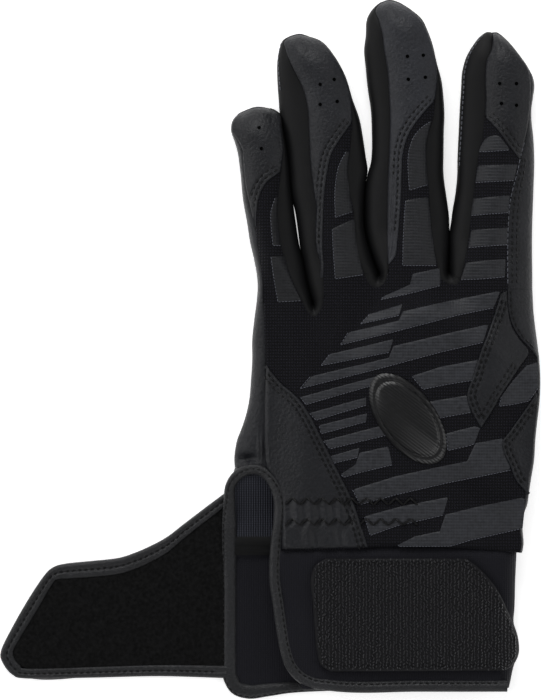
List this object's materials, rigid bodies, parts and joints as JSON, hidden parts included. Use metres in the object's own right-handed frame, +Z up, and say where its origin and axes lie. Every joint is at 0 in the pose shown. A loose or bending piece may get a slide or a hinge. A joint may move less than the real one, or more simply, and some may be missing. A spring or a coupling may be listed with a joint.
{
  "type": "batting glove",
  "caption": "left-hand batting glove lying palm down: leather palm and fingertip caps, stretch-knit back, thumb folded under, neoprene cuff with an open hook-and-loop wrist strap",
  "frame": {"origin": "on the table, under the middle of the wrist cuff, on the flat underside of its palm layer", "axes": "+Y points from the wrist to the fingertips, +Z is up out of the back of the hand, +X points to the thumb side"},
  "size_m": [0.1815, 0.2357, 0.0196],
  "materials": {
    "leather": "matte charcoal sheepskin",
    "knit": "dark stretch knit with grey ribbed print",
    "side_cloth": "smooth black stretch cloth",
    "neoprene": "jersey-faced neoprene",
    "tape": "folded binding tape",
    "hook": "moulded hook tape",
    "pile": "brushed loop pile",
    "rubber": "glossy moulded pad"
  },
  "bodies": {
    "hand": {"palm_panel": "leather", "back_panel": "knit", "ulnar_roll": "leather", "heel_panel": "leather", "wrist_elastic": "side_cloth", "wrist_side_panel": "leather", "index_root_panel": "leather", "knuckle_overlay": "leather", "thumb_base_overlay": "leather", "back_badge": "rubber", "pinky_ring_crotch": "side_cloth", "ring_middle_crotch": "side_cloth", "middle_index_crotch": "side_cloth", "slit_lining": "knit", "slit_tape": "tape", "cuff_band": "neoprene", "hook_patch": "hook", "cuff_binding": "tape"},
    "strap": {"strap_shell": "neoprene", "strap_pile": "pile", "strap_binding": "tape"},
    "thumb": {"thumb_front": "leather", "thumb_back": "leather", "thumb_side": "leather"},
    "pinky": {"pinky_front": "leather", "pinky_back": "knit", "pinky_tip_cap": "leather", "pinky_left_side": "leather", "pinky_right_side": "side_cloth"},
    "ring": {"ring_front": "leather", "ring_back": "knit", "ring_tip_cap": "leather", "ring_left_side": "side_cloth", "ring_right_side": "side_cloth"},
    "middle": {"middle_front": "leather", "middle_back": "knit", "middle_tip_cap": "leather", "middle_left_side": "side_cloth", "middle_right_side": "side_cloth"},
    "index": {"index_front": "leather", "index_back": "knit", "index_tip_cap": "leather", "index_left_side": "side_cloth", "index_right_side": "leather"}
  },
  "joints": [
    {"name": "strap_fold", "type": "hinge", "parent": "hand", "child": "strap", "pos_m": [-0.04995, 0, 0.0087], "axis": [0, 1, 0], "range_deg": [0, 180]},
    {"name": "thumb_fold", "type": "hinge", "parent": "hand", "child": "thumb", "pos_m": [0.0583, 0.061, 0.0075], "axis": [0, -1, 0], "range_deg": [0, 175]},
    {"name": "pinky_lift", "type": "hinge", "parent": "hand", "child": "pinky", "pos_m": [-0.02975, 0.106, 0.0153], "axis": [0.9917, 0.1288, 0], "range_deg": [0, 40]},
    {"name": "ring_lift", "type": "hinge", "parent": "hand", "child": "ring", "pos_m": [-0.00863, 0.11611, 0.0153], "axis": [0.9848, 0.1736, 0], "range_deg": [0, 40]},
    {"name": "middle_lift", "type": "hinge", "parent": "hand", "child": "middle", "pos_m": [0.01493, 0.1186, 0.0153], "axis": [0.9966, 0.0819, 0], "range_deg": [0, 40]},
    {"name": "index_lift", "type": "hinge", "parent": "hand", "child": "index", "pos_m": [0.0417, 0.1179, 0.0153], "axis": [1, 0, 0], "range_deg": [0, 40]}
  ]
}
